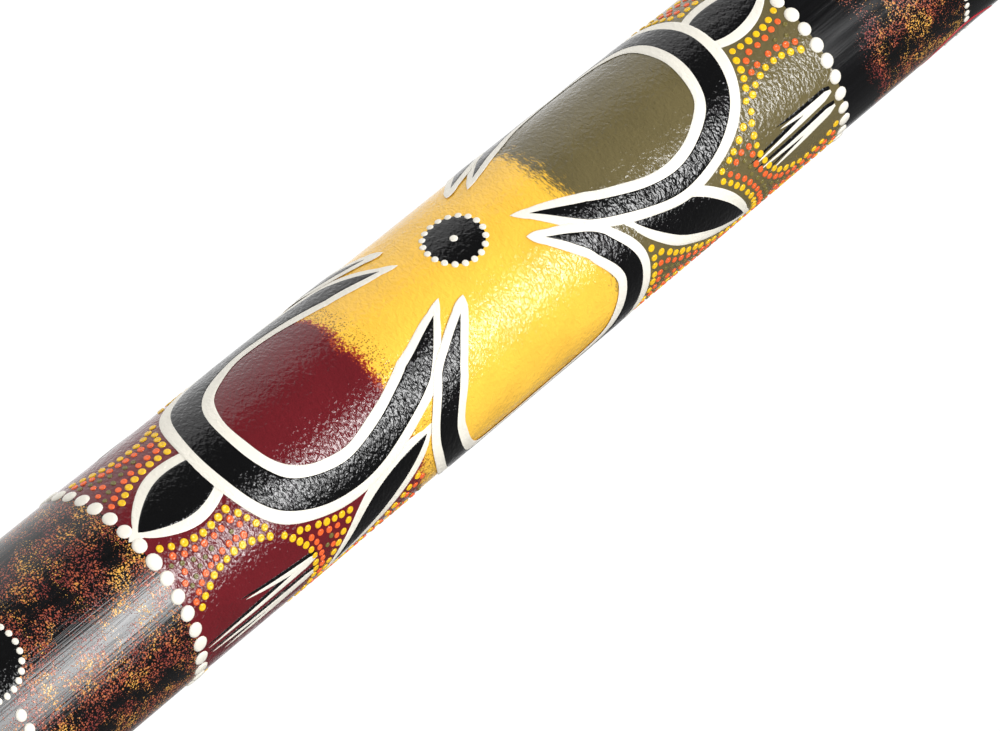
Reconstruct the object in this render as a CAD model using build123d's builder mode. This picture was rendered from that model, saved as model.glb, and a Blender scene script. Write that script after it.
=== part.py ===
from build123d import *
import os

# A didgeridoo: a straight, conical drone pipe. A tapered teak billet is sawn along its length, both
# halves are hollowed out, and they are glued back together. The outside is filled and lacquered black, the
# middle of the pipe carries three colour coats between rings of raised paint beads, and the narrow end has a
# lip of beeswax.
# Frame: millimetres. The bell's rim rests on z = 0, the air column runs along +Z, and the glued seams lie in
# the XZ plane, so the front half is on the -Y side.

# Driving dimensions
LENGTH = 1300.0  # bell rim to the top of the wax lip
BELL_D = 76.0  # outside, over the black lacquer
MOUTH_D = 52.0
WAX_RISE = 9.0  # how far the wax stands above the timber
BELL_BORE_D = 60.0
MOUTH_BORE_D = 34.0
BELL_STRAIGHT = 40.0  # the bore runs straight for this far up from the bell, then it narrows
BELL_FLARE = 3.0  # the round on the bore's edge at the bell
RIM_BEVEL = 1.5  # the bevel on the outer edges of the timber
MOUTH_BEVEL = 2.5  # the bevel on the bore's edge, which the wax grips
GLUE = 0.2  # thickness of the glue line
LACQUER = 0.3  # filler and black lacquer together
FIELD = 0.12  # thickness of one colour coat

# The decorated panel, as heights along the pipe: it sits at the middle of the length
PANEL_LOW, PANEL_HIGH = 515.0, 784.0
MAROON_TO_YELLOW = 606.0
YELLOW_TO_OLIVE = 688.0

# Rings of white paint beads: height of the ring, number of beads in it and their diameter
BEAD_RINGS = {
    "bead_ring_bell": (64.0, 42, 4.4),
    "bead_ring_lower_band": (454.5, 43, 3.6),
    "bead_ring_panel_low": (PANEL_LOW, 34, 4.8),
    "bead_ring_panel_high": (PANEL_HIGH, 33, 4.4),
    "bead_ring_upper_band": (838.5, 57, 2.2),
    "bead_ring_mouth": (1212.0, 30, 4.4),
}
BEAD_RISE = 0.125  # how far a bead stands up, as a share of its diameter

# The beeswax lip
WAX_HOLE_D = 29.0
WAX_LINING = 22.0  # how far the wax runs down inside the bore
WAX_SKIRT = 12.0  # how far it runs down outside
WAX_SKIRT_PROUD = 1.6  # how far the skirt stands off the lacquer at the rim
WAX_FEATHER = 0.4  # thickness at its thin edges

TIMBER = LENGTH - WAX_RISE


def outside_radius(z, proud=0.0):
    """Radius of the lacquered cone at height z, plus what a layer stands above it."""
    return (BELL_D + (MOUTH_D - BELL_D) * z / LENGTH) / 2 + proud


def bore_radius(z):
    """Radius of the bore in the timber at height z."""
    share = max(0, z - BELL_STRAIGHT) / (TIMBER - BELL_STRAIGHT)
    return (BELL_BORE_D + (MOUTH_BORE_D - BELL_BORE_D) * share) / 2


def film(low, high, inside, outside):
    """A thin conical coat from height low to high, between two levels measured from the lacquered cone."""
    with BuildPart() as coat:
        with BuildSketch(Plane.XZ):
            with BuildLine():
                Polyline(
                    (outside_radius(low, inside), low),
                    (outside_radius(low, outside), low),
                    (outside_radius(high, outside), high),
                    (outside_radius(high, inside), high),
                    close=True,
                )
            make_face()
        revolve(axis=Axis.Z)
    return coat


def save(piece, name):
    """Labels a finished piece and writes it as its own STEP file."""
    piece.part.label = name
    export_step(piece.part, f"parts/{name}.step")


os.makedirs("parts", exist_ok=True)

# The hollowed billet before it is sawn: the stock that both halves and their glue are cut from
with BuildPart() as billet:
    with BuildSketch(Plane.XZ):
        with BuildLine():
            Polyline(
                (bore_radius(0) + BELL_FLARE, 0),
                (outside_radius(0, -LACQUER) - RIM_BEVEL, 0),
                (outside_radius(RIM_BEVEL, -LACQUER), RIM_BEVEL),
                (outside_radius(TIMBER - RIM_BEVEL, -LACQUER), TIMBER - RIM_BEVEL),
                (outside_radius(TIMBER, -LACQUER) - RIM_BEVEL, TIMBER),
                (bore_radius(TIMBER) + MOUTH_BEVEL, TIMBER),
                (bore_radius(TIMBER - MOUTH_BEVEL), TIMBER - MOUTH_BEVEL),
                (bore_radius(BELL_STRAIGHT), BELL_STRAIGHT),
                (bore_radius(BELL_FLARE), BELL_FLARE),
            )
            RadiusArc((bore_radius(BELL_FLARE), BELL_FLARE), (bore_radius(0) + BELL_FLARE, 0), BELL_FLARE)
        make_face()
    revolve(axis=Axis.Z)

# Plane.XZ faces -Y, so its positive side is the front
front_face = Plane.XZ.offset(GLUE / 2)
back_face = Plane.XZ.offset(-GLUE / 2)

with BuildPart() as front_half_shell:
    add(billet.part)
    split(bisect_by=front_face, keep=Keep.TOP)
save(front_half_shell, "front_half_shell")

with BuildPart() as back_half_shell:
    add(billet.part)
    split(bisect_by=back_face, keep=Keep.BOTTOM)
save(back_half_shell, "back_half_shell")

# Two strips of glue, one each side of the bore
with BuildPart() as glue_seams:
    add(billet.part)
    split(bisect_by=front_face, keep=Keep.BOTTOM)
    split(bisect_by=back_face, keep=Keep.TOP)
save(glue_seams, "glue_seams")

# The black lacquer covers the whole cone between the two bevels
black_lacquer = film(RIM_BEVEL, TIMBER - RIM_BEVEL, -LACQUER, 0)
save(black_lacquer, "black_lacquer")

# Three colour coats make the ground of the decorated panel
maroon_coat = film(PANEL_LOW, MAROON_TO_YELLOW, 0, FIELD)
yellow_coat = film(MAROON_TO_YELLOW, YELLOW_TO_OLIVE, 0, FIELD)
olive_coat = film(YELLOW_TO_OLIVE, PANEL_HIGH, 0, FIELD)
save(maroon_coat, "maroon_coat")
save(yellow_coat, "yellow_coat")
save(olive_coat, "olive_coat")

# Raised beads of white paint, each a cap of a sphere that sits on the curved surface
for name, (height, count, bead_d) in BEAD_RINGS.items():
    rise = BEAD_RISE * bead_d
    sphere_r = ((bead_d / 2) ** 2 + rise**2) / (2 * rise)
    with BuildPart() as bead_ring:
        with Locations((0, 0, height)):
            with PolarLocations(outside_radius(height, FIELD + rise) - sphere_r, count):
                Sphere(sphere_r)
        Cone(outside_radius(0), outside_radius(LENGTH), LENGTH, align=(Align.CENTER, Align.CENTER, Align.MIN),
             mode=Mode.SUBTRACT)
        if height == PANEL_LOW:
            add(maroon_coat.part, mode=Mode.SUBTRACT)
        if height == PANEL_HIGH:
            add(olive_coat.part, mode=Mode.SUBTRACT)
    save(bead_ring, name)

# The beeswax is pressed on by hand: a round lip, a thin lining inside the bore and a skirt over the lacquer
wax_hole_r = WAX_HOLE_D / 2
lining_z = TIMBER - WAX_LINING
skirt_z = TIMBER - WAX_SKIRT
lip_side_z = TIMBER + WAX_RISE / 3
lip_outer_r = outside_radius(TIMBER, WAX_SKIRT_PROUD)
lip_top_r = (wax_hole_r + lip_outer_r) / 2
with BuildPart() as wax_mouthpiece:
    with BuildSketch(Plane.XZ):
        with BuildLine():
            Polyline(
                (bore_radius(lining_z) - WAX_FEATHER, lining_z),
                (wax_hole_r, lining_z + WAX_LINING / 2),
                (wax_hole_r, lip_side_z),
            )
            ThreePointArc(
                (wax_hole_r, lip_side_z),
                (lip_top_r, LENGTH),
                (lip_outer_r, lip_side_z),
            )
            Polyline(
                (lip_outer_r, lip_side_z),
                (lip_outer_r, TIMBER - WAX_SKIRT / 3),
                (outside_radius(skirt_z, WAX_FEATHER), skirt_z),
                (outside_radius(skirt_z, -LACQUER), skirt_z),
                (bore_radius(lining_z), lining_z),
                (bore_radius(lining_z) - WAX_FEATHER, lining_z),
            )
        make_face()
    revolve(axis=Axis.Z)
    add(billet.part, mode=Mode.SUBTRACT)
    add(black_lacquer.part, mode=Mode.SUBTRACT)
save(wax_mouthpiece, "wax_mouthpiece")
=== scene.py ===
"""The looks of a dot-painted didgeridoo: lacquered teak, a panel of thick glossy paint and a beeswax lip.

The pipe stands on its bell with the air column along +Z. The paint is laid out on the unrolled pipe: a place
is (height, girth) in millimetres, where height is measured up from the bell's rim and girth is measured round
a pipe of radius SHEET_R from the front, towards +X.
"""
import itertools
import math
import random

import bmesh
import bpy
import numpy as np
from mathutils import Matrix, Vector, noise


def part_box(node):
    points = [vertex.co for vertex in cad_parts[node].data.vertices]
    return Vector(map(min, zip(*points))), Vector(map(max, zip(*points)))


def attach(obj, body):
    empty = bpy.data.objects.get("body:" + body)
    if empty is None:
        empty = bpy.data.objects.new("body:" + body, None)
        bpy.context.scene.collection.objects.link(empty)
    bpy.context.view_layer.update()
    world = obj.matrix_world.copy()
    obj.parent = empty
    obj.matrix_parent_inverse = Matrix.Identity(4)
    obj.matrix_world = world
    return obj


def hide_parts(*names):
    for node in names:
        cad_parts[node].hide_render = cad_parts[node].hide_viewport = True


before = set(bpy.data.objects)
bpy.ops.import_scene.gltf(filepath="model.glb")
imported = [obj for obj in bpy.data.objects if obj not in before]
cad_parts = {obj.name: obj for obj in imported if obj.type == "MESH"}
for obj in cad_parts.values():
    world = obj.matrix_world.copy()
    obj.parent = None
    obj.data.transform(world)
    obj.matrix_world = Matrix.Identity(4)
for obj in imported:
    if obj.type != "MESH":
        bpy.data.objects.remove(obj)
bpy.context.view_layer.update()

MM = 0.001
SHEET_R = 32.0  # radius that the flat sheet of paint is rolled to
GIRTH = 2 * math.pi * SHEET_R

# ---------------------------------------------------------------- sizes read from the CAD frame
maroon_box, yellow_box, olive_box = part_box("maroon_coat"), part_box("yellow_coat"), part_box("olive_coat")
lacquer_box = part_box("black_lacquer")
PANEL_LOW, PANEL_HIGH = maroon_box[0].z / MM, olive_box[1].z / MM
YELLOW_LOW, YELLOW_HIGH = yellow_box[0].z / MM, yellow_box[1].z / MM
TAPER = (maroon_box[1].x - olive_box[1].x) / (olive_box[0].z - maroon_box[0].z)
COAT_R = maroon_box[1].x / MM + TAPER * PANEL_LOW
FIELD = COAT_R - TAPER * lacquer_box[0].z / MM - lacquer_box[1].x / MM  # a colour coat's thickness
LACQUER_R = COAT_R - FIELD  # the lacquered cone's radius at height 0

# ---------------------------------------------------------------- how the paint lies
FLOWER = (654.4, -18.6)  # height and girth of the flower's centre
DRIFT, DRIFT_BEND = -0.0425, 0.0002  # how the painter's rows drift round the pipe, and how that bends
FIRST_LEVEL = 0.02  # level of the lowest brushed paint above the coat under it
LAYER = 0.09  # thickness of one layer of brushed paint
BORDER = 3.6  # greatest width of a white outline
LACQUER = 0.3  # thickness of the lacquer
NEAR_SKIN = 259.5  # length of the lacquered sleeve on each side of the panel
PANEL_LAP = 0.5  # how far the panel's ground laps over those sleeves
SKIN_STEP, SKIN_AROUND = 2.5, 240  # a sleeve's points: spacing along the pipe, and number round it
# Heights of the dots: in the rows, round a black disc's rim, in its middle, in all other circles, and in the
# double rows on the ends
ROW_RISE, RIM_RISE, MIDDLE_RISE, CIRCLE_RISE, LANE_RISE = 0.34, 0.32, 0.36, 0.3, 0.26


def surface_radius(height, turn):
    """Radius of the lacquered pipe, with the slight waves of a hand-rasped surface."""
    waves = 0.05 * np.sin(height / 31 + 2 * turn) + 0.035 * np.sin(height / 13 - 3 * turn + 1)
    return LACQUER_R - TAPER * height + waves


def on_pipe(height, girth, rise):
    """Points in metres at some heights and girths, standing a little above the lacquered surface."""
    turn = np.asarray(girth) / SHEET_R
    r = surface_radius(np.asarray(height), turn) + rise
    return np.stack([r * np.sin(turn), -r * np.cos(turn), height + 0 * turn], -1) * MM


def motif(x, y):
    """Height and girth of a place x up the pipe and y round it from the flower's centre."""
    return FLOWER[0] + x, FLOWER[1] + y + DRIFT * x + DRIFT_BEND * x * x


# ---------------------------------------------------------------- meshes
WELD = 2e-6  # points nearer than this, in metres, become one
SHARP_EDGE = math.radians(80)


def clean(mesh):
    """Drops doubled points and faces without area, turns the faces outwards and shades them smooth."""
    work = bmesh.new()
    work.from_mesh(mesh)
    bmesh.ops.remove_doubles(work, verts=work.verts, dist=WELD)
    bmesh.ops.dissolve_degenerate(work, edges=work.edges, dist=WELD / 2)
    bmesh.ops.recalc_face_normals(work, faces=work.faces)
    work.to_mesh(mesh)
    work.free()
    mesh.shade_smooth()
    mesh.set_sharp_from_angle(angle=SHARP_EDGE)


class Paint:
    """Everything painted in one colour: closed shells of raised paint, gathered into one mesh."""

    def __init__(self):
        self.points, self.faces = [], []

    def loft(self, loops, closed=False):
        """Adds a shell through rings of points. Its two ends are closed, or joined to each other."""
        start, rows, count = len(self.points), len(loops), len(loops[0])
        for ring in loops:
            self.points.extend(map(tuple, ring))
        for row in range(rows if closed else rows - 1):
            a, b = start + row * count, start + (row + 1) % rows * count
            for k in range(count):
                n = (k + 1) % count
                self.faces.append((a + k, a + n, b + n, b + k))
        if closed:
            return
        last = start + (rows - 1) * count
        self.faces.append(tuple(range(start + count - 1, start - 1, -1)))
        self.faces.append(tuple(range(last, last + count)))

    def build(self, name, material, slot, *replaced):
        """Makes the object, lets it ride on the pipe and hides the CAD nodes it stands for."""
        mesh = bpy.data.meshes.new(name)
        mesh.from_pydata(self.points, [], self.faces)
        clean(mesh)
        mesh.materials.append(material)
        piece = bpy.data.objects.new(name, mesh)
        bpy.context.scene.collection.objects.link(piece)
        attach(piece, "root")
        if replaced:
            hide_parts(*replaced)


def resample(line, step):
    """The same polyline with evenly spaced points."""
    run = np.r_[0, np.cumsum(np.hypot(*np.diff(line, axis=0).T))]
    even = np.linspace(0, run[-1], max(3, round(run[-1] / step) + 1))
    return np.column_stack([np.interp(even, run, line[:, k]) for k in range(2)])


def smooth_line(points, step=1.0):
    """An even polyline along the smooth curve (Catmull-Rom) through some points."""
    p = np.array(points, float)
    p = np.vstack([2 * p[0] - p[1], p, 2 * p[-1] - p[-2]])
    t = np.linspace(0, 1, 24, endpoint=False)[:, None]
    spans = [
        0.5 * (2 * b + (c - a) * t + (2 * a - 5 * b + 4 * c - d) * t**2 + (3 * b - a - 3 * c + d) * t**3)
        for a, b, c, d in zip(p, p[1:], p[2:], p[3:])
    ]
    return resample(np.vstack(spans + [p[-2:-1]]), step)


def lengthened(line, extra):
    """The polyline with its two ends carried straight on, in half-millimetre steps."""
    first, last = line[0] - line[1], line[-1] - line[-2]
    first, last = first / np.hypot(*first), last / np.hypot(*last)
    steps = np.arange(extra, 0, -0.5)[:, None]
    return np.vstack([line[0] + first * steps, line, line[-1] + last * steps[::-1]])


# Half of a brush stroke's section, from its edge to its middle: share of the half width, and of the thickness
HALF_SECTION = np.array([(-1, -0.6), (-0.97, 0.45), (-0.88, 0.9), (-0.5, 1), (0, 0.96)])
STROKE_SECTION = np.vstack([HALF_SECTION, HALF_SECTION[-2::-1] * [-1, 1]])


def ribbon(paint, line, half, level):
    """A raised stroke of paint along a line of (height, girth) points, with a half width for each point."""
    along = np.gradient(line, axis=0)
    across = np.column_stack([-along[:, 1], along[:, 0]]) / np.hypot(*along.T)[:, None]
    loops = []
    for place, side, width in zip(line, across, half):
        flat = place + side * width * STROKE_SECTION[:, :1]
        rise = level + LAYER * min(1, 0.3 + width) * STROKE_SECTION[:, 1]
        loops.append(on_pipe(flat[:, 0], flat[:, 1], rise))
    paint.loft(loops)


def wobble(count, seed, size=0.05):
    """Slow uneven factors near 1, as a hand-held brush gives."""
    s = np.arange(count)
    return 1 + size * (np.sin(s / 7.3 + seed) + 0.6 * np.sin(s / 3.1 + 2.3 * seed))


# From a dot's rim to its middle: share of the radius, and share of the height
DIMPLED = ((1.0, -0.3), (0.96, 0.45), (0.8, 0.9), (0.58, 1.0), (0.36, 0.8), (0.12, 0.62))
ROUNDED = ((1.0, -0.3), (0.96, 0.35), (0.82, 0.75), (0.6, 0.93), (0.3, 1.0), (0.08, 1.0))


def dot(paint, place, radius, level, height, shape=DIMPLED, stretch=1.0, around=12):
    """A dot of thick paint set down with a stick. stretch makes it longer round the pipe."""
    turn = np.linspace(0, 2 * math.pi, around, endpoint=False)
    out, up = np.array(shape).T[:, :, None]
    flat_h = place[0] + radius * out * np.cos(turn)
    flat_g = place[1] + radius * out * stretch * np.sin(turn)
    paint.loft(on_pipe(flat_h, flat_g, level + height * up))


# ---------------------------------------------------------------- node materials
class Shader:
    """A node material on one Principled shader, built up from procedural textures in millimetres."""

    def __init__(self, name, **inputs):
        self.material = bpy.data.materials.new(name)
        self.material.use_nodes = True
        self.tree = self.material.node_tree
        self.tree.nodes.clear()
        output = self.tree.nodes.new("ShaderNodeOutputMaterial")
        self.surface = self.tree.nodes.new("ShaderNodeBsdfPrincipled")
        self.tree.links.new(self.surface.outputs[0], output.inputs[0])
        for key, value in inputs.items():
            self.surface.inputs[key.replace("_", " ")].default_value = value
        self.place = self.tree.nodes.new("ShaderNodeTexCoord").outputs["Object"]

    def node(self, kind, inputs, **settings):
        """A node with its settings, and its inputs linked or set."""
        made = self.tree.nodes.new("ShaderNode" + kind)
        for key, value in settings.items():
            setattr(made, key, value)
        for key, value in inputs.items():
            if isinstance(value, bpy.types.NodeSocket):
                self.tree.links.new(value, made.inputs[key])
            else:
                made.inputs[key].default_value = value
        return made

    def scaled(self, size, stretch):
        """Object coordinates where one unit is size millimetres, longer along each stretched axis."""
        scale = [1 / (size * MM * s) for s in stretch]
        return self.node("Mapping", {"Vector": self.place, "Scale": scale}).outputs[0]

    def noise(self, size, stretch=(1, 1, 1), detail=2.0, roughness=0.5, distortion=0.0):
        """Soft noise, mostly from 0.3 to 0.7."""
        inputs = {"Vector": self.scaled(size, stretch), "Scale": 1.0, "Detail": detail}
        inputs.update({"Roughness": roughness, "Distortion": distortion})
        return self.node("TexNoise", inputs).outputs["Fac"]

    def cells(self, size, output="Distance"):
        """Scattered points: the distance to the nearest one, or the random colour it has."""
        inputs = {"Vector": self.scaled(size, (1, 1, 1)), "Scale": 1.0}
        return self.node("TexVoronoi", inputs).outputs[output]

    def maths(self, operation, a, b, clamp=False):
        """One step of arithmetic, kept between 0 and 1 if it is clamped."""
        return self.node("Math", {0: a, 1: b}, operation=operation, use_clamp=clamp).outputs[0]

    def height(self):
        """Height up the pipe in millimetres."""
        z = self.node("SeparateXYZ", {0: self.place}).outputs["Z"]
        return self.maths("MULTIPLY", z, 1 / MM)

    def step(self, value, low, high, out_low=0.0, out_high=1.0):
        """A smooth step of value from low to high."""
        inputs = {"Value": value, "From Min": low, "From Max": high, "To Min": out_low, "To Max": out_high}
        return self.node("MapRange", inputs, interpolation_type="SMOOTHSTEP").outputs[0]

    def band(self, value, low, high, soft):
        """1 between two values, with soft edges."""
        up = self.step(value, low - soft, low + soft)
        return self.maths("MULTIPLY", up, self.step(value, high - soft, high + soft, 1.0, 0.0))

    def ramp(self, value, *stops):
        """Colours by value, from (position, colour) stops."""
        made = self.node("ValToRGB", {0: value})
        elements = made.color_ramp.elements
        while len(elements) < len(stops):
            elements.new(0.5)
        for element, (position, colour) in zip(elements, stops):
            element.position, element.color = position, (*colour, 1)
        return made.outputs["Color"]

    def mix(self, share, a, b):
        """From colour a to colour b."""
        a, b = [c if isinstance(c, bpy.types.NodeSocket) else (*c, 1) for c in (a, b)]
        return self.node("Mix", {0: share, 6: a, 7: b}, data_type="RGBA").outputs[2]

    def bump(self, value, depth, before=None):
        """A bump of depth millimetres, on top of an earlier one."""
        inputs = {"Height": value, "Distance": depth * MM, "Strength": 1.0}
        if before is not None:
            inputs["Normal"] = before
        return self.node("Bump", inputs).outputs[0]

    def use(self, socket, value):
        """Links a result to one of the shader's inputs."""
        self.tree.links.new(value, self.surface.inputs[socket])


def srgb(red, green, blue):
    """A colour given as it is seen, 0 to 255, as linear light. Near black the curve is a straight line."""
    return tuple(((c / 255 + 0.055) / 1.055) ** 2.4 if c > 10 else c / 3295 for c in (red, green, blue))


BLACK = srgb(8, 8, 9)
WHITE = srgb(240, 235, 222)
MAROON, YELLOW, OLIVE = srgb(104, 26, 33), srgb(252, 197, 70), srgb(104, 94, 62)
GOLD, RUST, EMBER = srgb(230, 172, 80), srgb(180, 94, 62), srgb(134, 58, 52)
DOT_YELLOW, DOT_ORANGE, DOT_OLIVE = srgb(246, 196, 30), srgb(247, 104, 48), srgb(116, 106, 56)
RING_RED, SPATTER, BLEND = srgb(196, 40, 56), srgb(96, 52, 30), srgb(206, 80, 40)


def tinted(colour, strength):
    """The colour made darker by a strength below 1, or lighter by one above it."""
    return tuple(min(1, c * strength) for c in colour)


def wrinkles(shader, depth):
    """The pebbled, leathery skin of thick varnish that shrank as it dried."""
    pebbles = shader.noise(1.15, (1.4, 1.4, 1), 1.0, 0.5, 0.4)
    fine = shader.noise(0.55, (1.2, 1.2, 1), 1.0)
    coarse = shader.noise(7.0, detail=1.0)
    first = shader.bump(pebbles, 0.34 * depth)
    second = shader.bump(fine, 0.05 * depth, first)
    return shader.bump(coarse, 0.22 * depth, second)


def paint_material(name, colour, depth=0.6, roughness=0.3, shade=0.08):
    """Varnished brush paint: slightly uneven in tone, with the varnish's wrinkles over it."""
    shader = Shader(name, Specular_IOR_Level=0.5, IOR=1.5)
    tone = shader.noise(9.0, detail=3.0)
    dark, light = tinted(colour, 1 - shade), tinted(colour, 1 + shade / 2)
    shader.use("Base Color", shader.ramp(tone, (0.3, dark), (0.7, light)))
    shader.use("Roughness", shader.step(shader.noise(4.0), 0.3, 0.7, roughness - 0.03, roughness + 0.05))
    shader.use("Normal", wrinkles(shader, depth))
    return shader.material


def droplets(shader, density, size):
    """Where sprayed droplets of about this size fall: more and larger ones where the density is high."""
    share = shader.maths("ADD", shader.maths("MULTIPLY", shader.cells(size, output="Color"), 0.8), 0.2)
    reach = shader.maths("MULTIPLY", density, share)
    return shader.maths("MULTIPLY", shader.maths("SUBTRACT", reach, shader.cells(size)), 9.0, clamp=True)


def around_middle(shader, texture, reach):
    """A texture turned into offsets of about reach millimetres to both sides."""
    return shader.maths("MULTIPLY", shader.maths("SUBTRACT", texture, 0.5), 4 * reach)


# Where the black beside the panel was sprayed: from height, to height, and how soft its ends are
SPRAY_LOW, SPRAY_HIGH = (447.0, 520.0, 8.0), (797.0, 838.0, 5.0)
# Heights of the rings where more gold was sprayed on it, and how far each fades to both sides
GOLD_RINGS, GOLD_FADE = (472.5, 491.5, 512.0, 806.0, 812.0), 4.0
LARGE_DROP, MIDDLE_DROP, SMALL_DROP = 0.75, 0.6, 0.5  # spacing of the sprayed droplets


def gold_rings(shader, height):
    """How densely gold was sprayed in rings, patchy round the pipe."""
    gold = shader.band(height, GOLD_RINGS[0], GOLD_RINGS[0], GOLD_FADE)
    for ring in GOLD_RINGS[1:]:
        gold = shader.maths("MAXIMUM", gold, shader.band(height, ring, ring, GOLD_FADE))
    patchy = shader.step(shader.noise(19.0, detail=2.0), 0.36, 0.52, 0.3, 1.9)
    return shader.maths("MULTIPLY", gold, patchy)


def lacquer_material():
    """Black lacquer over brushed filler, with gold and rust sprayed beside the panel."""
    shader = Shader("black_lacquer", Specular_IOR_Level=0.5, IOR=1.5)
    waves = around_middle(shader, shader.noise(22.0, detail=1.0), 3.0)
    wavy = shader.maths("ADD", shader.height(), waves)
    clouds = shader.noise(15.0, detail=3.0, roughness=0.6, distortion=0.5)
    lower, upper = shader.band(wavy, *SPRAY_LOW), shader.band(wavy, *SPRAY_HIGH)
    zones = shader.maths("ADD", lower, upper, clamp=True)
    density = shader.maths("MULTIPLY", zones, shader.step(clouds, 0.36, 0.54, 0.18, 0.61))
    large, small = droplets(shader, density, LARGE_DROP), droplets(shader, density, SMALL_DROP)
    spray = shader.maths("MAXIMUM", large, small)
    gold_spray = droplets(shader, gold_rings(shader, wavy), MIDDLE_DROP)
    # Each droplet has a tint of its own, and the upper band turns warmer with height
    each = around_middle(shader, shader.cells(LARGE_DROP, output="Color"), 0.06)
    tint = shader.maths("ADD", shader.noise(9.0, detail=2.0), each)
    warmer = shader.maths("MULTIPLY", upper, shader.step(wavy, 796.0, 814.0, -0.14, 0.06))
    hue = shader.ramp(shader.maths("ADD", tint, warmer), (0.36, EMBER), (0.52, RUST), (0.7, GOLD))
    ground = shader.ramp(shader.noise(2.0, (1, 1, 40), 2.0), (0.35, BLACK), (0.7, srgb(16, 16, 18)))
    shader.use("Base Color", shader.mix(gold_spray, shader.mix(spray, ground, hue), GOLD))
    grain = shader.bump(shader.noise(0.8, (1, 1, 60), 2.0, 0.6), 0.13)
    shader.use("Normal", shader.bump(spray, 0.02, grain))
    shader.use("Roughness", shader.step(shader.noise(3.0, (1, 1, 12)), 0.3, 0.7, 0.12, 0.19))
    return shader.material


def panel_material():
    """The panel's three ground coats: maroon spattered into yellow, and olive dry-brushed over it."""
    shader = Shader("panel_ground", Specular_IOR_Level=0.5, IOR=1.5)
    height = shader.height()
    tone = shader.noise(14.0, detail=3.0)
    maroon, yellow, olive = [
        shader.ramp(tone, (0.3, tinted(colour, 0.9)), (0.7, tinted(colour, 1.05)))
        for colour in (MAROON, YELLOW, OLIVE)
    ]
    lumps = around_middle(shader, shader.noise(9.0, detail=2.0), 2.0)
    sponge = around_middle(shader, shader.noise(0.7, detail=2.0, roughness=0.6), 2.3)
    dabbed = shader.maths("ADD", shader.maths("ADD", height, sponge), lumps)
    warm = shader.step(dabbed, YELLOW_LOW - 3.4, YELLOW_LOW - 1.4, 0.0, 0.5)
    solid = shader.step(dabbed, YELLOW_LOW - 1.6, YELLOW_LOW - 0.4)
    thinning = shader.step(dabbed, YELLOW_LOW - 1.0, YELLOW_LOW + 15.0, 0.75, 0.0)
    spatter = droplets(shader, thinning, MIDDLE_DROP)
    spatter = shader.maths("MULTIPLY", spatter, shader.maths("MULTIPLY", solid, 0.7))
    lower = shader.mix(solid, shader.mix(warm, maroon, BLEND), yellow)
    lower = shader.mix(spatter, lower, SPATTER)
    streak = around_middle(shader, shader.noise(0.6, (4, 4, 1), 3.0, 0.7), 5.0)
    brushed = shader.maths("ADD", shader.maths("ADD", height, streak), lumps)
    both = shader.mix(shader.step(brushed, YELLOW_HIGH - 2.0, YELLOW_HIGH + 3.5), lower, olive)
    shader.use("Base Color", both)
    shader.use("Roughness", shader.step(shader.noise(4.0), 0.3, 0.7, 0.06, 0.12))
    shader.use("Normal", wrinkles(shader, 1.0))
    return shader.material


def teak_material():
    """Bare sawn teak: long figure lines and dark open pores."""
    shader = Shader("teak", Specular_IOR_Level=0.3, Roughness=0.62)
    figure = shader.noise(7.0, (1, 1, 18), 4.0, 0.6, 0.4)
    pores = shader.noise(0.7, (1, 1, 22), 2.0, 0.7)
    wood = shader.ramp(figure, (0.3, srgb(118, 74, 40)), (0.5, srgb(158, 108, 62)), (0.7, srgb(186, 136, 84)))
    shader.use("Base Color", shader.mix(shader.step(pores, 0.34, 0.44, 0.7, 0.0), wood, srgb(70, 42, 24)))
    shader.use("Normal", shader.bump(pores, 0.12))
    return shader.material


def beeswax_material():
    """Warm, slightly cloudy beeswax, pressed smooth by hand."""
    shader = Shader("beeswax", Specular_IOR_Level=0.45, Subsurface_Weight=0.25, Subsurface_Scale=0.003)
    cloud = shader.noise(8.0, detail=4.0, roughness=0.6)
    shader.use("Base Color", shader.ramp(cloud, (0.3, srgb(132, 82, 34)), (0.7, srgb(186, 128, 60))))
    shader.use("Roughness", shader.step(shader.noise(5.0), 0.3, 0.7, 0.38, 0.55))
    prints = shader.bump(shader.noise(5.0, detail=2.0), 0.5)
    shader.use("Normal", shader.bump(shader.noise(0.8, detail=2.0), 0.06, prints))
    return shader.material


def glue_material():
    """The dark dried glue line between the halves."""
    shader = Shader("wood_glue", Roughness=0.5)
    shade = shader.ramp(shader.noise(1.5, (1, 1, 6)), (0.3, srgb(44, 27, 14)), (0.7, srgb(66, 42, 22)))
    shader.use("Base Color", shade)
    shader.use("Normal", shader.bump(shader.noise(0.6), 0.05))
    return shader.material


def floor_material():
    """Matt white studio board."""
    shader = Shader("studio_floor", Roughness=0.9)
    board = shader.ramp(shader.noise(60.0), (0.3, srgb(232, 232, 232)), (0.7, srgb(236, 236, 236)))
    shader.use("Base Color", board)
    return shader.material


# ---------------------------------------------------------------- the coated skin
def sleeve(name, low, high, outside, material, slot, *replaced):
    """A conical coat between two heights, down to the timber and up to a rise above the lacquered cone."""
    girth = np.linspace(0, GIRTH, SKIN_AROUND, endpoint=False)
    heights = np.linspace(low, high, round((high - low) / SKIN_STEP))
    rows = [on_pipe(h + 0 * girth, girth, outside) for h in heights]
    inner = [on_pipe(h + 0 * girth, girth, -LACQUER) for h in (high, low)]
    paint = Paint()
    paint.loft(rows + inner, closed=True)
    paint.build(name, material, slot, *replaced)


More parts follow.
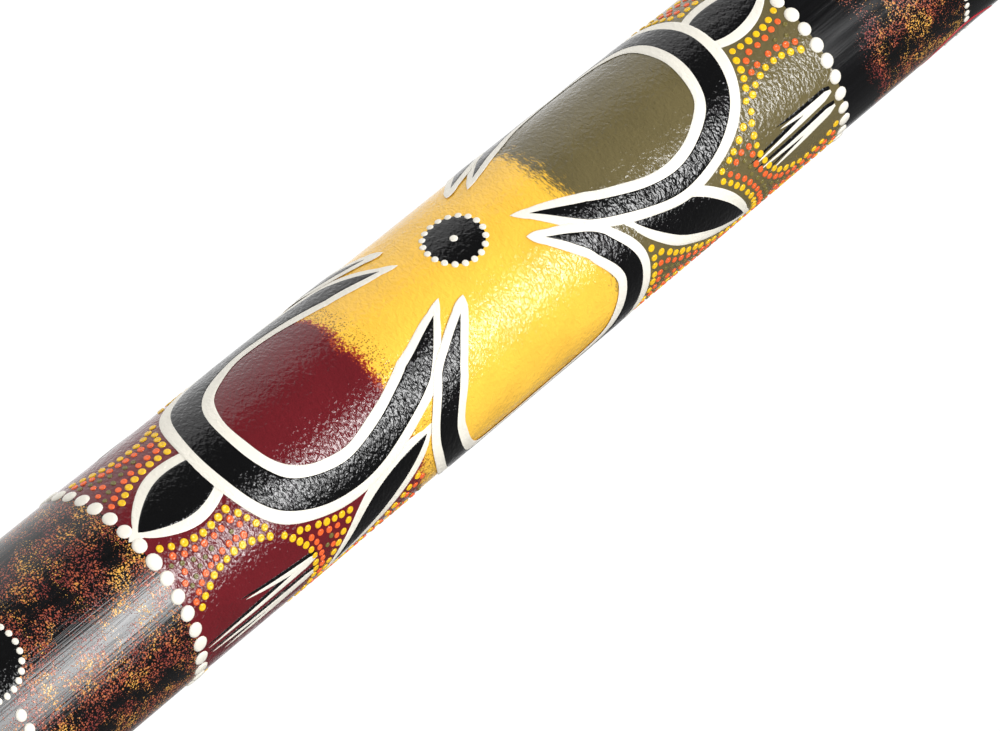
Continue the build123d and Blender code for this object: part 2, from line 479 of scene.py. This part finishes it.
def make_skin():
    """The lacquered skin in four sleeves, and the panel's ground coats in one."""
    lacquer = lacquer_material()
    low, high = lacquer_box[0].z / MM, lacquer_box[1].z / MM
    sleeves = (
        ("lacquer_bell", low, PANEL_LOW - NEAR_SKIN),
        ("lacquer_lower", PANEL_LOW - NEAR_SKIN, PANEL_LOW),
        ("lacquer_upper", PANEL_HIGH, PANEL_HIGH + NEAR_SKIN),
        ("lacquer_mouth", PANEL_HIGH + NEAR_SKIN, high),
    )
    for name, start, end in sleeves:
        sleeve(name, start, end, 0.0, lacquer, "black_lacquer", "black_lacquer")
    low, high = PANEL_LOW - PANEL_LAP, PANEL_HIGH + PANEL_LAP
    coats = ("maroon_coat", "yellow_coat", "olive_coat")
    sleeve("panel_ground", low, high, FIELD, panel_material(), "yellow_paint", *coats)


# ---------------------------------------------------------------- the painted flower
# The heights, on the maroon and olive grounds, between which rows of dots may lie
DOTTED = ((PANEL_LOW + 3, YELLOW_LOW - 1), (YELLOW_HIGH + 8, PANEL_HIGH - 3))
CONTOUR_SLACK = 0.12  # how much nearer to a shape than asked a place on a contour may be


class Shapes:
    """The painted shapes as rows of discs, so that dots can keep their distance from them."""

    def __init__(self):
        self.rows = []

    def add(self, line, half):
        """Remembers a stroke, or a row of discs along a line."""
        self.rows.append(np.column_stack([line, half]))

    def distance(self, places):
        """Distance from each place to the nearest shape, measured round the pipe; negative inside one."""
        nearest = np.full(len(places), 1e9)
        for height, girth, half in np.vstack(self.rows):
            round_pipe = (places[:, 1] - girth + GIRTH / 2) % GIRTH - GIRTH / 2
            nearest = np.minimum(nearest, np.hypot(places[:, 0] - height, round_pipe) - half)
        return nearest

    def contour(self, away):
        """Places on the maroon and olive grounds that are at one distance from the shapes."""
        turn = np.radians(np.arange(0, 360, 6))
        height, girth, half = np.vstack(self.rows)[::2].T[:, :, None]  # every second disc is enough
        places = [height + (half + away) * np.cos(turn), girth + (half + away) * np.sin(turn)]
        places = np.stack(places, -1).reshape(-1, 2)
        places = places[np.any([(places[:, 0] > low) & (places[:, 0] < high) for low, high in DOTTED], 0)]
        return places[self.distance(places) > away - CONTOUR_SLACK]


# A petal's middle line from its far end to its tip: share of its reach, and share of its half width
LONG_PETAL = ((1.0, 0.0), (0.93, 0.68), (0.70, 1.0), (0.43, 0.77), (0.225, 0.37))
WIDE_PETAL = ((1.0, 0.0), (0.93, 0.72), (0.64, 0.96), (0.43, 0.80), (0.33, 0.63), (0.25, 0.45))
LEAN = -3.0  # how far a petal's tips are shifted across it
# Each petal: direction, middle line, reach, half width, half width of its band, the band's thinning at the
# sides, and how pointed its tips are
PETALS = (
    (0, LONG_PETAL, 98.0, 33.1, 4.45, 0.35, 1.0),
    (90, WIDE_PETAL, 73.5, 40.75, 4.4, 0.25, 0.55),
    (180, LONG_PETAL, 102.0, 30.5, 4.95, 0.12, 1.0),
    (270, WIDE_PETAL, 73.5, 40.75, 4.4, 0.25, 0.55),
)
BLACK_TIP, WHITE_TIP = 18.0, 5.8  # length over which a band narrows, and how far its outline runs on
LEAF_TIP = 4.2  # how far a leaf's outline runs on
# The leaves between the petals, on the flower's axis and on both its sides: where each starts and ends from
# the flower's centre, half width, and how far it bows
AXIS_LEAVES = (((-137, 0), (-99, 0), 7.3, 0), ((97, 0), (130.5, 0), 7.3, 0))
SIDE_LEAVES = (((-45, 39), (-85, 58.6), 4.6, 2.0), ((47, 32.5), (87, 63.5), 6.0, -2.0))
# The leaves at the back: from, to and half width
BACK_LEAVES = ((-135, -110, 7.0), (-70, -16, 8.0), (16, 66, 8.0), (104, 128, 7.0))
# The dotted discs in the flower's centre and at the back: radius, dots round the rim, and their diameter
MIDDLE_DISC = (9.4, 19, 2.2)


def petal_line(direction, outline, reach, half_width):
    """The middle line of a petal's black band, from tip to tip round its far end."""
    one = [(reach * along, half_width * out + LEAN * (1 - along)) for along, out in outline]
    other = [(reach * along, -half_width * out + LEAN * (1 - along)) for along, out in outline]
    c, s = round(math.cos(math.radians(direction))), round(math.sin(math.radians(direction)))
    return smooth_line([motif(c * x - s * y, s * x + c * y) for x, y in other[::-1] + one[1:]])


def outlined(black, white, shapes, line, half, layer, seed, extra=WHITE_TIP, point=1.0):
    """A black stroke with a white outline that runs on past both ends. A low point makes its tips blunt."""
    longer = lengthened(line, extra)
    ends = (len(longer) - len(line)) // 2
    full = np.r_[np.zeros(ends), half, np.zeros(ends)]
    run = np.r_[0, np.cumsum(np.hypot(*np.diff(longer, axis=0).T))]
    near_end = np.minimum(run, run[-1] - run)
    # The border is widest half way along, and rounds off towards both ends
    border = BORDER * (0.68 + 0.32 * np.sin(math.pi * run / run[-1])) * wobble(len(longer), seed)
    outer = full + border * (1 - np.exp(-near_end / (0.75 * extra * point)))
    level = FIELD + FIRST_LEVEL + layer * 2 * LAYER
    ribbon(white, longer, outer, level)
    ribbon(black, line, half * wobble(len(line), seed + 1, 0.025), level + LAYER)
    shapes.add(longer, outer)


def lens(start, end, half_width, bow):
    """The middle line and half widths of a leaf between two places, pointed at both ends."""
    start, end = np.array(start), np.array(end)
    across = np.array([start[1] - end[1], end[0] - start[0]])
    across = across / np.hypot(*across)
    line = smooth_line([motif(*p) for p in (start, (start + end) / 2 + across * bow, end)])
    share = np.linspace(0, 1, len(line))
    return line, half_width * np.sin(math.pi * share) ** 0.85


def make_flower(black, white, shapes):
    """Four petals over the leaves that show between them."""
    leaves = [lens(*leaf) for leaf in AXIS_LEAVES]
    for side, (start, end, half_width, bow) in itertools.product((-1, 1), SIDE_LEAVES):
        leaves.append(lens((start[0], start[1] * side), (end[0], end[1] * side), half_width, bow * side))
    for order, (line, half) in enumerate(leaves):
        outlined(black, white, shapes, line, half, 0, order, LEAF_TIP)
    for order, (direction, outline, reach, half_width, band, thinning, point) in enumerate(PETALS):
        line = petal_line(direction, outline, reach, half_width)
        bulge = np.sin(math.pi * np.linspace(0, 1, len(line)))
        near_end = np.minimum(np.arange(len(line)), np.arange(len(line))[::-1])
        tip = np.clip(near_end / BLACK_TIP, 0, 1)
        half = band * tip * (1 - thinning * (1 - bulge**4))
        outlined(black, white, shapes, line, half, 1 + order % 2, 5 + order, point=point)
        # Discs along the petal's axis keep the rows of dots out of it
        shapes.add((line + line[::-1]) / 2, 0.4 * np.hypot(*(line - line[::-1]).T))


def make_back(black, white, shapes):
    """Between the wide petals' far ends, round at the back: two long leaves and one at each ring."""
    back = GIRTH / 2
    for low, high, half_width in BACK_LEAVES:
        line, half = lens((low, back), (high, back), half_width, 0)
        outlined(black, white, shapes, line, half, 0, low, LEAF_TIP)


def make_roundel(black, dots, place, radius, count, size, level=FIELD + FIRST_LEVEL):
    """A black disc with white dots round its rim and one in its middle."""
    dot(black, place, radius, level, LAYER, ROUNDED, around=60)
    for turn in np.linspace(0, 2 * math.pi, count, endpoint=False):
        rim = (place[0] + radius * math.cos(turn), place[1] + radius * math.sin(turn))
        dot(dots, rim, size / 2, level, RIM_RISE, ROUNDED)
    dot(dots, place, size * 0.6, level, MIDDLE_RISE, ROUNDED)


# ---------------------------------------------------------------- rows of dots
# The plain fields with brush spikes in them: place from the flower's centre, and radius
LOBES = [(-117.4, side * 47.0, 22.0) for side in (-1, 1)] + [(114.5, side * 41.0, 16.8) for side in (-1, 1)]
LOBE_RIM, RIM_DISCS = 4.0, 120  # radius and number of the discs that stand for a field's rim
LEAST_GAP = 2.3  # least distance between the places of two dots in the rows
# Rows by their distance from the outlines: distance, colour, dot radius, and pitch along the row
DOT_ROWS = (
    (2.1, "yellow", 1.2, 3.0),
    (4.8, "orange", 1.08, 2.8),
    (7.3, "olive", 0.85, 2.7),
    (9.8, "orange", 0.98, 2.8),
    (12.5, "yellow", 1.15, 3.0),
    (15.2, "orange", 0.98, 2.8),
    (17.8, "olive", 0.85, 2.7),
)


def gaps_to(places, here):
    """Distances from some places to one, measured round the pipe."""
    round_pipe = (places[:, 1] - here[1] + GIRTH / 2) % GIRTH - GIRTH / 2
    return np.hypot(places[:, 0] - here[0], round_pipe)


def walk(places, pitch):
    """Picks places one after another along a contour, a pitch apart."""
    here = places[0]
    free = np.ones(len(places), bool)
    while free.any():
        yield here
        gaps = gaps_to(places, here)
        free &= gaps > pitch
        here = places[np.argmin(np.where(free, gaps, np.inf))]


def make_dot_rows(paints, shapes):
    """Fills the maroon and olive grounds between the shapes with rows of dots that follow the outlines."""
    turn = np.linspace(0, 2 * math.pi, RIM_DISCS)[:, None]
    circle = np.hstack([np.cos(turn), np.sin(turn)])
    for x, y, radius in LOBES:
        middle = np.array([motif(x, y)])
        shapes.add(middle, [radius - 3])
        shapes.add(middle + (radius - LOBE_RIM) * circle, np.full(RIM_DISCS, LOBE_RIM))
    dice = random.Random(3)
    placed = np.full((1, 2), -1e3)
    for away, colour, radius, pitch in DOT_ROWS:
        for place in walk(shapes.contour(away), pitch):
            if gaps_to(placed, place).min() < LEAST_GAP:
                continue
            placed = np.vstack([placed, place])
            spot = place + [dice.uniform(-0.15, 0.15), dice.uniform(-0.15, 0.15)]
            size = radius * dice.uniform(0.9, 1.08)
            dot(paints[colour], spot, size, FIELD, ROW_RISE, DIMPLED, dice.uniform(0.92, 1.08))


# ---------------------------------------------------------------- brush spikes
# A fan is two forks. Each spike: where it starts and ends across the fan, as shares of its width, and its
# length, as a share of the fan's
SPIKES = ((0.1, -0.45, 0.63), (0.1, 0.2, 1.0), (0.9, 0.65, 0.97), (0.9, 1.2, 0.85))
# A spike's black shadow and its white: shift across as a share of the width, lengthening, half width, level
SHADOW, STROKE = (-0.2, 1.06, 1.5, 0), (0, 1, 1.4, 0.06)
# The fans: where the root is from the flower's centre, length (negative towards the bell), width and tilt
FANS = ((-92.7, 48.7, -44, 7.5, -0.5), (126.6, 44.7, -34, 7.0, 0.4))


def make_fan(black, white, root, length, width, tilt):
    """Two brush loads of white flicked out into long spikes, each over a black one like a shadow."""
    share = np.linspace(0, 1, 40)[:, None]
    taper = np.clip((share[:, 0] + 0.05) / 0.15, 0, 1) * (1 - share[:, 0]) ** 0.7
    for start, end, reach in SPIKES:
        for paint, (shift, longer, half, level) in ((black, SHADOW), (white, STROKE)):
            first = np.array(motif(root[0], root[1] + width * (start + shift - 0.5)))
            end_up = root[0] + length * reach * longer
            end_over = root[1] + width * (end + shift + tilt - 0.5)
            span = np.array(motif(end_up, end_over)) - first
            bow = 0.7 * np.sin(math.pi * share) * [0, math.copysign(start - 0.5, width)]
            ribbon(paint, first + span * share + bow, half * taper, FIELD + level)


def make_fans(black, white):
    """A fan in each plain field, with its root on the side away from the bell."""
    for side, (x, y, length, width, tilt) in itertools.product((-1, 1), FANS):
        make_fan(black, white, (x, y * side), length, width * side, tilt)


# ---------------------------------------------------------------- beads and bands beside the panel
# Beads in each ring and their diameter
RINGS = {
    "bead_ring_bell": (42, 4.4),
    "bead_ring_lower_band": (43, 3.6),
    "bead_ring_panel_low": (34, 4.9),
    "bead_ring_panel_high": (33, 4.6),
    "bead_ring_upper_band": (57, 2.2),
    "bead_ring_mouth": (30, 4.4),
}
BAND_DISC, BAND_CIRCLE = 13.0, 17.0  # radius of the bands' black discs, and of their red circles
LOW_DISCS = [-10.0 + GIRTH * k / 3 for k in range(3)]  # girths of the discs' centres
HIGH_CIRCLES = [59.0 + GIRTH * k / 3 for k in range(3)]  # and of the circles'
DISC_DOTS = (28, 2.1)  # dots round a black disc's rim, and their diameter
CIRCLE_LINE = 0.8  # half width of a red circle's line
INNER_CIRCLE = 9.0  # radius of the circle of white dots in a red circle


def open_places(count, height, closed_at, clear):
    """Evenly spaced places round the pipe at a height, but none within clear of the girths that are taken."""
    for girth in np.linspace(0, GIRTH, count, endpoint=False):
        gaps = [abs((girth - taken + GIRTH / 2) % GIRTH - GIRTH / 2) for taken in closed_at]
        if min(gaps, default=GIRTH) > clear:
            yield height, girth


def make_beads(beads):
    """The rings of raised beads, slightly uneven as they are set by hand."""
    taken = {
        "bead_ring_lower_band": (LOW_DISCS, BAND_DISC + 2.5),
        "bead_ring_upper_band": (HIGH_CIRCLES, BAND_CIRCLE + 1.5),
    }
    dice = random.Random(11)
    for name, (count, bead_d) in RINGS.items():
        low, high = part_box(name)
        height = (low.z + high.z) / 2 / MM
        closed_at, clear = taken.get(name, ((), 0.0))
        for up, girth in open_places(count, height, closed_at, clear):
            place = (up + dice.uniform(-0.05, 0.05) * bead_d, girth + dice.uniform(-0.04, 0.04) * bead_d)
            radius = bead_d / 2 * dice.uniform(0.92, 1.05)
            stretch = dice.uniform(0.96, 1.12) * SHEET_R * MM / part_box(name)[1].x
            dot(beads, place, radius, 0.0, 0.1 * bead_d + 0.2, ROUNDED, stretch, 16)


def make_bands(black, dots, red):
    """The black discs in the lower band and the red circles in the upper one."""
    low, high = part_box("bead_ring_lower_band"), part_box("bead_ring_upper_band")
    low_height, high_height = (low[0].z + low[1].z) / 2 / MM, (high[0].z + high[1].z) / 2 / MM
    for girth in LOW_DISCS:
        make_roundel(black, dots, (low_height, girth), BAND_DISC, *DISC_DOTS, FIRST_LEVEL)
    turn = np.linspace(0, 2 * math.pi, 96, endpoint=False)
    circle = np.column_stack([np.cos(turn), np.sin(turn)])
    for girth in HIGH_CIRCLES:
        loops = []
        for out in circle:
            flat = (high_height, girth) + out * (BAND_CIRCLE + CIRCLE_LINE * STROKE_SECTION[:, :1])
            loops.append(on_pipe(flat[:, 0], flat[:, 1], LAYER * STROKE_SECTION[:, 1]))
        red.loft(loops, closed=True)
        dot(dots, (high_height, girth), 1.3, 0.0, CIRCLE_RISE, ROUNDED)
        for spot in (high_height, girth) + INNER_CIRCLE * circle[::8]:
            dot(dots, spot, 1.0, 0.0, CIRCLE_RISE, ROUNDED)


# Heights of the roundels on the black ends: three on the bell's and three on the mouth's
STATIONS = (135.0, 245.0, 355.0, 940.0, 1040.0, 1140.0)
ROUNDEL_R = 22.95  # radius of a roundel at height 0; it shrinks as the pipe does
# The rings of dots in each roundel: share of its radius, number of dots, colour, and dot radius
ROUNDEL_RINGS = (
    (1.0, 28, "white", 1.15),
    (0.7, 20, "orange", 1.0),
    (0.42, 13, "yellow", 1.0),
    (0.0, 1, "white", 1.7),
)
# The double rows between the roundels: their places along the way, as shares of it, and across it
LANE_SHARES, LANES = np.linspace(0.26, 0.74, 12), (-2.2, 2.2)


def make_ends(paints):
    """Roundels of dots on the black ends, three at each station, joined by double rows of dots."""
    for order, height in enumerate(STATIONS):
        size = ROUNDEL_R * (1 - TAPER * height / COAT_R)
        scale = SHEET_R / (LACQUER_R - TAPER * height)  # girth for each millimetre round the pipe here
        for side in range(3):
            middle = GIRTH * (side / 3 + order % 2 / 6)
            for out, count, colour, radius in ROUNDEL_RINGS:
                for turn in np.linspace(0, 2 * math.pi, count, endpoint=False):
                    up, over = size * out * math.cos(turn), size * out * math.sin(turn) * scale
                    place = (height + up, middle + over)
                    dot(paints[colour], place, radius, 0.0, CIRCLE_RISE, ROUNDED, scale, 10)
            if order % 3 == 2:
                continue  # the highest station on an end has none above it to be joined to
            gap = STATIONS[order + 1] - height
            for share, lane, way in itertools.product(LANE_SHARES, LANES, (-1, 1)):
                place = (height + gap * share, middle + way * GIRTH / 6 * share + lane)
                dot(paints["white"], place, 0.95, 0.0, LANE_RISE, ROUNDED, scale, 10)


# The wax lip's profile, from low in the bore over the lip to the skirt's edge and back behind the wax:
# radius, height from the timber's end, and how deep fingers dent it there
WAX_PROFILE = (
    (16.6, -22.0, 0.0), (15.4, -17.0, 0.1), (14.5, -11.0, 0.2), (14.5, -5.0, 0.3), (14.5, 0.0, 0.4),
    (14.7, 3.5, 0.5), (15.7, 6.4, 0.7), (17.6, 8.4, 0.9), (20.2, 9.0, 1.0), (23.0, 8.3, 1.0),
    (25.4, 6.4, 1.0), (27.1, 3.6, 1.0), (27.7, 0.6, 1.0), (27.7, -3.0, 1.0), (27.3, -7.0, 0.7),
    (26.7, -12.4, 0.2), (25.9, -12.4, 0.0), (25.6, -1.0, 0.0), (18.5, -1.0, 0.0), (17.5, -22.0, 0.0),
)
WAX_AROUND = 144  # places round the lip where the profile stands
WIDE_DENT, NARROW_DENT = (9, 0.9), (3.5, 0.25)  # the two sizes of dent, and how deep each is


def make_wax(material):
    """The beeswax lip, with the dents and ridges that fingers left in it."""
    timber_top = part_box("front_half_shell")[1].z / MM
    loops = []
    for turn in np.linspace(0, 2 * math.pi, WAX_AROUND, endpoint=False):
        ring = []
        for radius, up, soft in WAX_PROFILE:
            place = Vector((radius * math.cos(turn), radius * math.sin(turn), up * 1.2))
            dent = soft * sum(depth * noise.noise(place / size) for size, depth in (WIDE_DENT, NARROW_DENT))
            rise = 0.6 * dent if up > 5 else 0.0  # the top of the lip is uneven in height as well
            r, z = radius + dent, timber_top + up + rise
            ring.append((r * math.sin(turn) * MM, -r * math.cos(turn) * MM, z * MM))
        loops.append(ring)
    lip = Paint()
    lip.loft(loops, closed=True)
    lip.build("beeswax_lip", material, "beeswax", "wax_mouthpiece")


# ---------------------------------------------------------------- putting the paint on
shapes = Shapes()
black, outlines, red = Paint(), Paint(), Paint()
beads, spikes_white, spikes_black = Paint(), Paint(), Paint()
dots = {"white": Paint(), "yellow": Paint(), "orange": Paint(), "olive": Paint()}

make_skin()
make_flower(black, outlines, shapes)
make_back(black, outlines, shapes)
make_roundel(black, dots["white"], FLOWER, *MIDDLE_DISC)
make_roundel(black, dots["white"], motif(0, GIRTH / 2), *MIDDLE_DISC)
make_dot_rows(dots, shapes)
make_fans(spikes_black, spikes_white)
make_bands(black, dots["white"], red)
make_ends(dots)
make_beads(beads)
make_wax(beeswax_material())

stroke_black = paint_material("stroke_black", BLACK, 1.0, 0.11)
stroke_white = paint_material("stroke_white", WHITE, 0.6, 0.35, 0.04)
black.build("black_strokes", stroke_black, "black_lacquer")
outlines.build("white_outlines", stroke_white, "cream_paint")
spikes_black.build("black_spikes", stroke_black, "black_lacquer")
spikes_white.build("white_spikes", stroke_white, "cream_paint")
red.build("red_circles", paint_material("stroke_red", RING_RED, 0.3, 0.3), "maroon_paint")
beads.build("white_beads", paint_material("bead_white", WHITE, 0.2, 0.25, 0.04), "cream_paint", *RINGS)
dots["white"].build("white_dots", paint_material("dot_white", WHITE, 0.2, 0.25, 0.04), "cream_paint")
dots["yellow"].build("yellow_dots", paint_material("dot_yellow", DOT_YELLOW, 0.2, 0.14), "yellow_paint")
dots["orange"].build("orange_dots", paint_material("dot_orange", DOT_ORANGE, 0.2, 0.14), "yellow_paint")
dots["olive"].build("olive_dots", paint_material("dot_olive", DOT_OLIVE, 0.2, 0.14), "olive_paint")

teak, glue = teak_material(), glue_material()
for node, finish in {"front_half_shell": teak, "back_half_shell": teak, "glue_seams": glue}.items():
    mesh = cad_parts[node].data
    mesh.materials.clear()
    mesh.materials.append(finish)

# ---------------------------------------------------------------- studio
VIEW_DISTANCE, VIEW_TILT, VIEW_ROLL = 2.74628, 24.0, 50.519  # metres, and degrees
VIEW_AIM, PIPE_MIDDLE = Vector((0.019518, 0, 0.652)), Vector((0, 0, 0.65))  # metres
VIEW_LENS, SENSOR, CLIP_START = 336.18, 36.0, 0.05  # millimetres, and metres
BACKDROP = 1.05  # brightness of the backdrop as the camera sees it
ROOM_LIGHT, PAPER_LIGHT = 0.12, 1.15  # brightness of the dim room and of the white paper
PAPER_WAY = (-0.766, 0.643, 0)  # the direction in which the paper hangs
PAPER_FADE = (0.2, 0.65)  # cosines of the angles from it at which the paper ends, and at which it is full
FLOOR_R, FLOOR_SIDES = 1.1, 96  # metres, and corners of its round edge


def make_camera():
    """Looks up at the pipe's middle from the front, with the bell's side nearer, and rolled."""
    tilt, roll = math.radians(VIEW_TILT), math.radians(VIEW_ROLL)
    back = Vector((0, -math.cos(tilt), -math.sin(tilt)))
    level = Vector((1, 0, 0))
    upright = back.cross(level)
    right = level * math.cos(roll) + upright * math.sin(roll)
    up = upright * math.cos(roll) - level * math.sin(roll)
    data = bpy.data.cameras.new("camera")
    data.lens, data.sensor_width, data.clip_start = VIEW_LENS, SENSOR, CLIP_START
    camera = bpy.data.objects.new("camera", data)
    camera.matrix_world = Matrix((right, up, back)).transposed().to_4x4()
    camera.location = VIEW_AIM + back * VIEW_DISTANCE
    bpy.context.scene.collection.objects.link(camera)
    bpy.context.scene.camera = camera


def softbox(name, azimuth, elevation, distance, width, height, radiance, mirrored=True):
    """A softbox aimed at the pipe's middle. Azimuth 0 is the camera's side and 90 is +X.

    One that is not mirrored stands for faint light from all that side, which shows no shape in the varnish.
    """
    a, e = math.radians(azimuth), math.radians(elevation)
    out = Vector((math.sin(a) * math.cos(e), -math.cos(a) * math.cos(e), math.sin(e)))
    data = bpy.data.lights.new(name, "AREA")
    data.shape, data.size, data.size_y = "RECTANGLE", width, height
    data.energy = radiance * math.pi * width * height
    light = bpy.data.objects.new(name, data)
    light.location = PIPE_MIDDLE + out * distance
    light.rotation_euler = out.to_track_quat("Z", "Y").to_euler()
    light.visible_camera = False
    light.visible_glossy = mirrored
    bpy.context.scene.collection.objects.link(light)


def make_world():
    """White paper behind and to the left, which lights the pipe's edges, and a dim room in front."""
    world = bpy.data.worlds.new("studio")
    world.use_nodes = True
    tree = world.node_tree
    tree.nodes.clear()
    output = tree.nodes.new("ShaderNodeOutputWorld")
    seen, room = tree.nodes.new("ShaderNodeBackground"), tree.nodes.new("ShaderNodeBackground")
    seen.inputs["Strength"].default_value = BACKDROP
    for background in (seen, room):
        background.inputs["Color"].default_value = (1, 1, 1, 1)
    way, toward = tree.nodes.new("ShaderNodeTexCoord"), tree.nodes.new("ShaderNodeVectorMath")
    toward.operation = "DOT_PRODUCT"
    toward.inputs[1].default_value = PAPER_WAY
    behind = tree.nodes.new("ShaderNodeMapRange")
    behind.interpolation_type = "SMOOTHSTEP"
    ranges = ("From Min", "From Max", "To Min", "To Max")
    for key, value in zip(ranges, (*PAPER_FADE, ROOM_LIGHT, PAPER_LIGHT)):
        behind.inputs[key].default_value = value
    tree.links.new(way.outputs["Generated"], toward.inputs[0])
    tree.links.new(toward.outputs["Value"], behind.inputs["Value"])
    tree.links.new(behind.outputs[0], room.inputs["Strength"])
    mixer, path = tree.nodes.new("ShaderNodeMixShader"), tree.nodes.new("ShaderNodeLightPath")
    tree.links.new(path.outputs["Is Camera Ray"], mixer.inputs[0])
    tree.links.new(room.outputs[0], mixer.inputs[1])
    tree.links.new(seen.outputs[0], mixer.inputs[2])
    tree.links.new(mixer.outputs[0], output.inputs[0])
    bpy.context.scene.world = world


def make_floor():
    """A round pale board. Its edge is below the camera's view, because the camera looks up past it."""
    turns = [2 * math.pi * k / FLOOR_SIDES for k in range(FLOOR_SIDES)]
    mesh = bpy.data.meshes.new("studio_floor")
    rim = [(FLOOR_R * math.cos(turn), FLOOR_R * math.sin(turn), 0) for turn in turns]
    mesh.from_pydata(rim, [], [tuple(range(FLOOR_SIDES))])
    mesh.materials.append(floor_material())
    floor = bpy.data.objects.new("studio_floor", mesh)
    bpy.context.scene.collection.objects.link(floor)


make_camera()
make_world()
make_floor()
softbox("key", 30, 20, distance=1.6, width=1.4, height=0.58, radiance=5.0)
softbox("key_middle", 30, 20, distance=1.55, width=0.7, height=0.28, radiance=13.0)
softbox("top", -20, 64, distance=2.0, width=1.6, height=1.6, radiance=3.2, mirrored=False)
softbox("low", 30, -13, distance=1.3, width=1.6, height=0.4, radiance=2.7, mirrored=False)
bpy.context.scene.view_settings.view_transform = "Standard"
